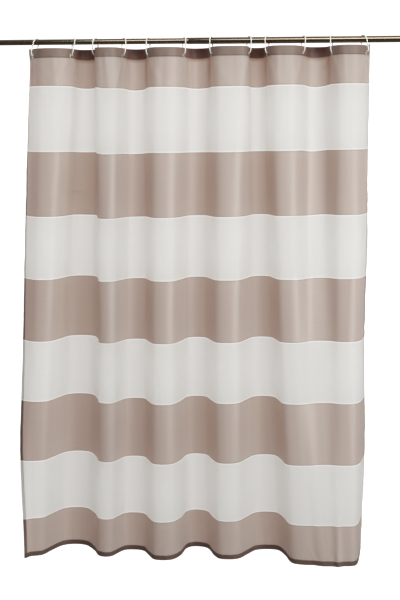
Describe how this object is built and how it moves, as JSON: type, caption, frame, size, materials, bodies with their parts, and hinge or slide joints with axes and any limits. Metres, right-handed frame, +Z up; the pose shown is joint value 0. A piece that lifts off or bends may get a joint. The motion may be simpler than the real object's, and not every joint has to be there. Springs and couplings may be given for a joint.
{
  "type": "shower curtain",
  "caption": "Striped fabric shower curtain with hemmed edges and grommets, hung by open ring hooks from a telescoping tension rod with rubber wall pads.",
  "frame": {"origin": "centre of the left wall pad's outer face, on the rod's axis", "axes": "+X along the rod to the right wall pad, +Z up, -Y is the room side that the picture shows"},
  "size_m": [1.524, 0.2442, 1.8705],
  "materials": {
    "bronze_metal": "glossy oil-rubbed bronze",
    "spring_steel": "bright drawn wire",
    "nickel": "nickel plate",
    "dark_plastic": "moulded, dark brown",
    "black_plastic": "moulded",
    "rubber": "matt",
    "cream_plastic": "moulded, cream",
    "striped_cloth": "satin weave, taupe and white bands",
    "hem_cloth": "satin weave, doubled"
  },
  "bodies": {
    "rod_fixed": {"left_wall_pad": "rubber", "left_end_cap": "dark_plastic", "inner_tube": "bronze_metal", "inner_tube_plug": "black_plastic", "tension_spring": "spring_steel"},
    "rod_sliding": {"outer_tube": "bronze_metal", "mouth_bushing": "black_plastic", "spring_stop": "black_plastic", "right_end_cap": "dark_plastic", "right_wall_pad": "rubber"},
    "curtain": {"cloth_panel": "striped_cloth", "header_hem": "hem_cloth", "bottom_hem": "hem_cloth", "left_side_hem": "hem_cloth", "right_side_hem": "hem_cloth", "hook_01": "cream_plastic", "grommet_01": "nickel", "grommet_washer_01": "nickel"},
    "hook_set_02": {"hook_02": "cream_plastic", "grommet_02": "nickel", "grommet_washer_02": "nickel"},
    "hook_set_03": {"hook_03": "cream_plastic", "grommet_03": "nickel", "grommet_washer_03": "nickel"},
    "hook_set_04": {"hook_04": "cream_plastic", "grommet_04": "nickel", "grommet_washer_04": "nickel"},
    "hook_set_05": {"hook_05": "cream_plastic", "grommet_05": "nickel", "grommet_washer_05": "nickel"},
    "hook_set_06": {"hook_06": "cream_plastic", "grommet_06": "nickel", "grommet_washer_06": "nickel"},
    "hook_set_07": {"hook_07": "cream_plastic", "grommet_07": "nickel", "grommet_washer_07": "nickel"},
    "hook_set_08": {"hook_08": "cream_plastic", "grommet_08": "nickel", "grommet_washer_08": "nickel"},
    "hook_set_09": {"hook_09": "cream_plastic", "grommet_09": "nickel", "grommet_washer_09": "nickel"},
    "hook_set_10": {"hook_10": "cream_plastic", "grommet_10": "nickel", "grommet_washer_10": "nickel"},
    "hook_set_11": {"hook_11": "cream_plastic", "grommet_11": "nickel", "grommet_washer_11": "nickel"},
    "hook_set_12": {"hook_12": "cream_plastic", "grommet_12": "nickel", "grommet_washer_12": "nickel"}
  },
  "joints": [
    {"name": "rod_extend", "type": "slide", "parent": "rod_fixed", "child": "rod_sliding", "axis": [1, 0, 0], "range_m": [0, 0.18], "deforming": ["tension_spring"]},
    {"name": "curtain_swing", "type": "hinge", "parent": "rod_fixed", "child": "curtain", "pos_m": [0.75, 0, 0], "axis": [1, 0, 0], "range_deg": [-25, 25]},
    {"name": "curtain_draw", "type": "slide", "parent": "curtain", "child": "hook_set_12", "axis": [-1, 0, 0], "range_m": [0, 0.7365], "deforming": ["cloth_panel", "header_hem", "bottom_hem", "left_side_hem", "right_side_hem"]},
    {"name": "draw_11", "type": "slide", "parent": "curtain", "child": "hook_set_11", "axis": [-1, 0, 0], "range_m": [0, 0.66093]},
    {"name": "draw_10", "type": "slide", "parent": "curtain", "child": "hook_set_10", "axis": [-1, 0, 0], "range_m": [0, 0.59631]},
    {"name": "draw_09", "type": "slide", "parent": "curtain", "child": "hook_set_09", "axis": [-1, 0, 0], "range_m": [0, 0.51823]},
    {"name": "draw_08", "type": "slide", "parent": "curtain", "child": "hook_set_08", "axis": [-1, 0, 0], "range_m": [0, 0.47696]},
    {"name": "draw_07", "type": "slide", "parent": "curtain", "child": "hook_set_07", "axis": [-1, 0, 0], "range_m": [0, 0.39455]},
    {"name": "draw_06", "type": "slide", "parent": "curtain", "child": "hook_set_06", "axis": [-1, 0, 0], "range_m": [0, 0.33362]},
    {"name": "draw_05", "type": "slide", "parent": "curtain", "child": "hook_set_05", "axis": [-1, 0, 0], "range_m": [0, 0.25419]},
    {"name": "draw_04", "type": "slide", "parent": "curtain", "child": "hook_set_04", "axis": [-1, 0, 0], "range_m": [0, 0.19927]},
    {"name": "draw_03", "type": "slide", "parent": "curtain", "child": "hook_set_03", "axis": [-1, 0, 0], "range_m": [0, 0.13701]},
    {"name": "draw_02", "type": "slide", "parent": "curtain", "child": "hook_set_02", "axis": [-1, 0, 0], "range_m": [0, 0.08448]}
  ],
  "couplings": [
    {"joint": "draw_11", "follows": "curtain_draw", "ratio": 0.89725},
    {"joint": "draw_10", "follows": "curtain_draw", "ratio": 0.80951},
    {"joint": "draw_09", "follows": "curtain_draw", "ratio": 0.7035},
    {"joint": "draw_08", "follows": "curtain_draw", "ratio": 0.64746},
    {"joint": "draw_07", "follows": "curtain_draw", "ratio": 0.53557},
    {"joint": "draw_06", "follows": "curtain_draw", "ratio": 0.45284},
    {"joint": "draw_05", "follows": "curtain_draw", "ratio": 0.34498},
    {"joint": "draw_04", "follows": "curtain_draw", "ratio": 0.27042},
    {"joint": "draw_03", "follows": "curtain_draw", "ratio": 0.18589},
    {"joint": "draw_02", "follows": "curtain_draw", "ratio": 0.11456}
  ]
}
